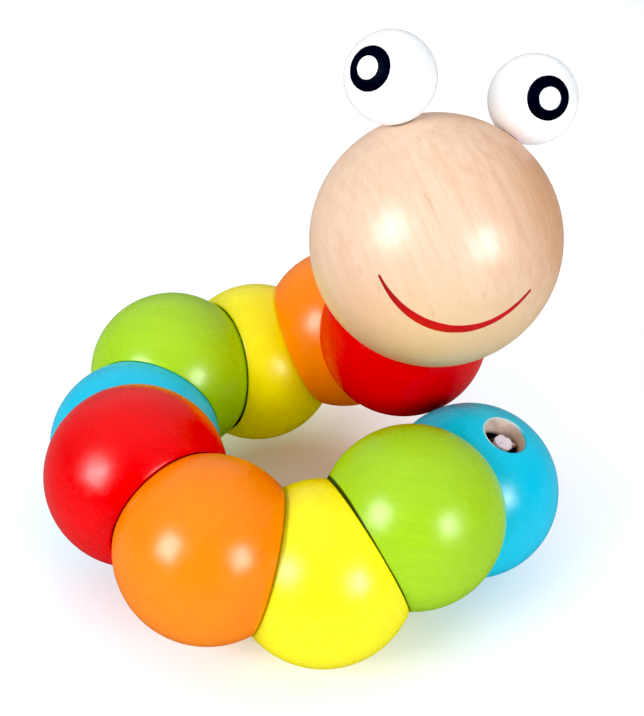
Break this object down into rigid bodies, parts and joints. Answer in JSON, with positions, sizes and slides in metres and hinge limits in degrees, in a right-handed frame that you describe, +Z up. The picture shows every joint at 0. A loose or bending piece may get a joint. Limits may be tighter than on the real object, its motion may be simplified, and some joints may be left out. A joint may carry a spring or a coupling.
{
  "type": "twisting wooden worm toy",
  "caption": "Jointed wooden worm: lacquered ball beads turn in one another's cupped ends on an elastic cord, behind a bare-wood ball head with ball eyes and a painted smile.",
  "frame": {"origin": "on the table, under the middle of the whole coiled toy", "axes": "+Z up from the table, -Y towards the side the face looks at, +X to the right seen from there"},
  "size_m": [0.0826, 0.0814, 0.0818],
  "materials": {
    "red_lacquer": "satin-gloss red lacquer over wood",
    "orange_lacquer": "satin-gloss orange lacquer over wood",
    "yellow_lacquer": "satin-gloss yellow lacquer over wood",
    "green_lacquer": "satin-gloss lime green lacquer over wood",
    "blue_lacquer": "satin-gloss sky blue lacquer over wood",
    "bare_wood": "pale close-grained wood under clear satin lacquer",
    "eye_white": "white gloss lacquer over wood",
    "dowel_wood": "bare hardwood dowel",
    "elastic_cord": "braided cover over a rubber core"
  },
  "bodies": {
    "yellow_2": {"yellow_bead_2": "yellow_lacquer", "yellow_cord_2": "elastic_cord"},
    "head": {"head": "bare_wood", "left_eye": "eye_white", "right_eye": "eye_white", "left_eye_peg": "dowel_wood", "right_eye_peg": "dowel_wood", "head_cord": "elastic_cord", "head_cord_wedge": "dowel_wood"},
    "red_1": {"red_bead_1": "red_lacquer", "red_cord_1": "elastic_cord"},
    "orange_1": {"orange_bead_1": "orange_lacquer", "orange_cord_1": "elastic_cord"},
    "yellow_1": {"yellow_bead_1": "yellow_lacquer", "yellow_cord_1": "elastic_cord"},
    "green_1": {"green_bead_1": "green_lacquer", "green_cord_1": "elastic_cord"},
    "blue_1": {"blue_bead_1": "blue_lacquer", "blue_cord_1": "elastic_cord"},
    "red_2": {"red_bead_2": "red_lacquer", "red_cord_2": "elastic_cord"},
    "orange_2": {"orange_bead_2": "orange_lacquer", "orange_cord_2": "elastic_cord"},
    "green_2": {"green_bead_2": "green_lacquer", "green_cord_2": "elastic_cord"},
    "tail": {"blue_tail_bead": "blue_lacquer", "blue_tail_cord": "elastic_cord", "tail_knot": "elastic_cord"}
  },
  "joints": [
    {"name": "orange_2_turn", "type": "hinge", "parent": "yellow_2", "child": "orange_2", "pos_m": [0.00401, -0.02643, 0.01398], "axis": [0.963, 0.0185, -0.2687], "range_deg": [0, 118]},
    {"name": "red_2_turn", "type": "hinge", "parent": "orange_2", "child": "red_2", "pos_m": [-0.01281, -0.02676, 0.01868], "axis": [0.6701, -0.7283, -0.1433], "range_deg": [0, 138]},
    {"name": "blue_1_turn", "type": "hinge", "parent": "red_2", "child": "blue_1", "pos_m": [-0.02479, -0.01373, 0.02124], "axis": [0.1458, -0.9004, 0.41], "range_deg": [0, 96]},
    {"name": "green_1_turn", "type": "hinge", "parent": "blue_1", "child": "green_1", "pos_m": [-0.02735, 0.00207, 0.01405], "axis": [-0.2773, -0.9403, -0.1972], "range_deg": [0, 130]},
    {"name": "yellow_1_turn", "type": "hinge", "parent": "green_1", "child": "yellow_1", "pos_m": [-0.02274, 0.0177, 0.01733], "axis": [-0.8441, -0.4994, 0.1951], "range_deg": [0, 110]},
    {"name": "orange_1_turn", "type": "hinge", "parent": "yellow_1", "child": "orange_1", "pos_m": [-0.00855, 0.0261, 0.01405], "axis": [-0.9009, -0.042, -0.432], "range_deg": [0, 138]},
    {"name": "red_1_turn", "type": "hinge", "parent": "orange_1", "child": "red_1", "pos_m": [0.00697, 0.02682, 0.02149], "axis": [-0.5777, 0.6941, -0.4296], "range_deg": [-30, 85]},
    {"name": "head_turn", "type": "hinge", "parent": "red_1", "child": "head", "pos_m": [0.0167, 0.01514, 0.02872], "axis": [-0.1507, 0.2883, -0.9456], "continuous": true},
    {"name": "green_2_turn", "type": "hinge", "parent": "yellow_2", "child": "green_2", "pos_m": [0.01721, -0.01986, 0.01948], "axis": [-0.8389, -0.4177, -0.3491], "range_deg": [0, 170]},
    {"name": "tail_turn", "type": "hinge", "parent": "green_2", "child": "tail", "pos_m": [0.02726, -0.00746, 0.01405], "axis": [-0.596, -0.7355, 0.3222], "continuous": true}
  ]
}
